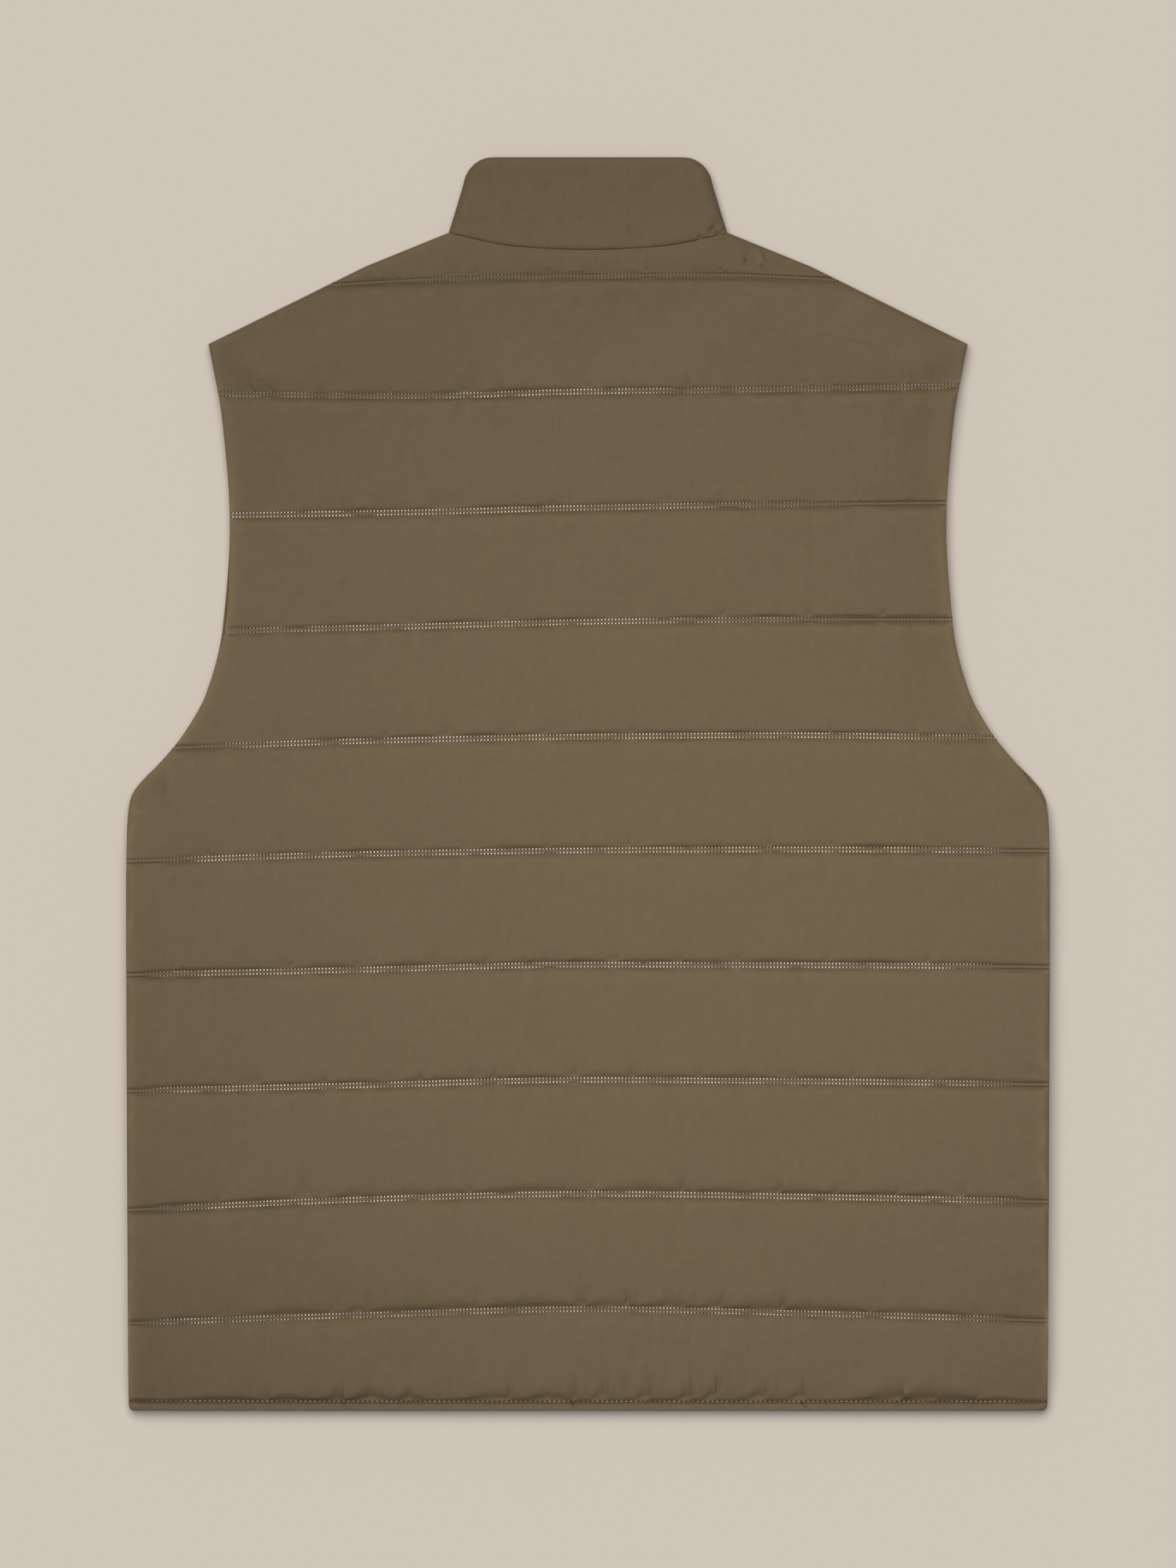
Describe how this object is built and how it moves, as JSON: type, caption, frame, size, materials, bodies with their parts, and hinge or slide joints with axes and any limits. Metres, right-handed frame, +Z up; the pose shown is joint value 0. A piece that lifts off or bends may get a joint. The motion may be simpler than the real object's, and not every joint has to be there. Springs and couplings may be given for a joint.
{
  "type": "quilted puffer vest laid flat on its front",
  "caption": "Sleeveless quilted vest with stand-up collar and front zip, laid flat with its back up",
  "frame": {"origin": "on the surface the vest lies on, under the middle of its outline", "axes": "+Z up from the surface, out of the back panel; +Y from the hem to the collar; +X to the wearer's right"},
  "size_m": [0.571, 0.775, 0.0222],
  "materials": {
    "shell_cloth": "olive brown polyester taffeta with a faint sheen, quilted over light padding",
    "zip_tape": "woven polyester zip tape, dyed to match",
    "zip_chain": "moulded plastic teeth, dyed to match",
    "zip_metal": "cast zinc in a dark bronze finish"
  },
  "bodies": {
    "vest": {"back_panel": "shell_cloth", "front_left": "shell_cloth", "front_right": "shell_cloth", "collar": "shell_cloth", "zip_tape_left": "zip_tape", "zip_tape_right": "zip_tape", "zip_chain": "zip_chain", "zip_box": "zip_metal", "zip_slider": "zip_metal"},
    "pull": {"zip_pull": "zip_metal"}
  },
  "joints": [
    {"name": "zip_pull_hinge", "type": "hinge", "parent": "vest", "child": "pull", "pos_m": [0, 0.3415, 0.00215], "axis": [1, 0, 0], "range_deg": [0, 180]}
  ]
}
